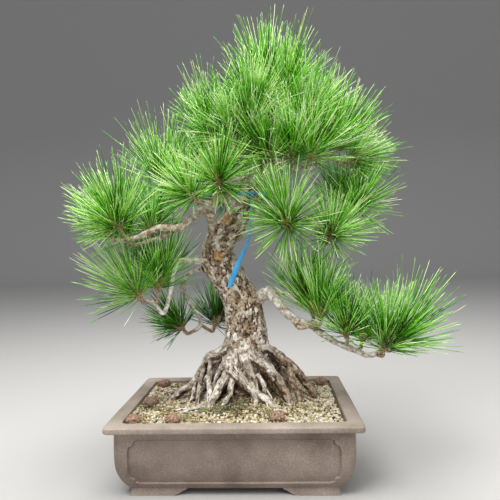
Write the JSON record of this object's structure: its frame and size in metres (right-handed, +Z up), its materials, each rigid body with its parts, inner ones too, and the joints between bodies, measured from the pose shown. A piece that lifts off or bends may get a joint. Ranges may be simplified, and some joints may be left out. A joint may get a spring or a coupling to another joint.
{
  "type": "black pine bonsai",
  "caption": "Small trained black pine with a curved, flaring trunk, bare surface roots and upswept needle sprays, in an unglazed rectangular clay pot.",
  "frame": {"origin": "middle of the part's footprint, on the surface that the pot's feet stand on", "axes": "+Z up, +X to the right along the pot's long side and +Y away from the viewer of the picture"},
  "size_m": [0.5804, 0.3514, 0.7023],
  "materials": {
    "clay": "matt unglazed",
    "pumice": "matt grains",
    "bark": "rough bark",
    "needle": "satin, fresh green needles",
    "cake": "matt, crumbly",
    "label": "satin",
    "mesh": "matt"
  },
  "bodies": {
    "root": {"pot": "clay", "screen_left": "mesh", "screen_right": "mesh", "wood": "bark", "soil": "pumice", "cake_1": "cake", "cake_2": "cake", "cake_3": "cake", "cake_4": "cake", "cake_5": "cake", "cake_6": "cake", "tag": "label", "spray_left_far_1": "needle", "spray_left_far_2": "needle", "spray_left_far_3": "needle", "spray_left_far_4": "needle", "spray_left_far_5": "needle", "spray_hook_1": "needle", "spray_hook_2": "needle", "spray_left_high_1": "needle", "spray_left_high_2": "needle", "spray_left_high_3": "needle", "spray_left_top_1": "needle", "spray_left_top_2": "needle", "spray_top_front_1": "needle", "spray_top_front_2": "needle", "spray_top_1": "needle", "spray_top_2": "needle", "spray_top_3": "needle", "spray_top_4": "needle", "spray_top_5": "needle", "spray_right_top_1": "needle", "spray_right_top_2": "needle", "spray_right_top_3": "needle", "spray_right_high_1": "needle", "spray_right_high_2": "needle", "spray_right_high_3": "needle", "spray_right_high_4": "needle", "spray_right_high_5": "needle", "spray_right_mid_1": "needle", "spray_right_mid_2": "needle", "spray_right_mid_3": "needle", "spray_right_mid_4": "needle", "spray_right_low_1": "needle", "spray_right_low_2": "needle", "spray_right_low_3": "needle", "spray_right_low_4": "needle", "spray_right_low_5": "needle", "spray_right_low_6": "needle", "spray_right_low_7": "needle", "spray_left_low_1": "needle", "spray_left_low_2": "needle", "spray_left_low_3": "needle", "spray_left_back_1": "needle", "spray_left_back_2": "needle", "spray_back_mid_1": "needle", "spray_back_mid_2": "needle", "spray_back_high_1": "needle", "spray_back_high_2": "needle"}
  },
  "joints": []
}
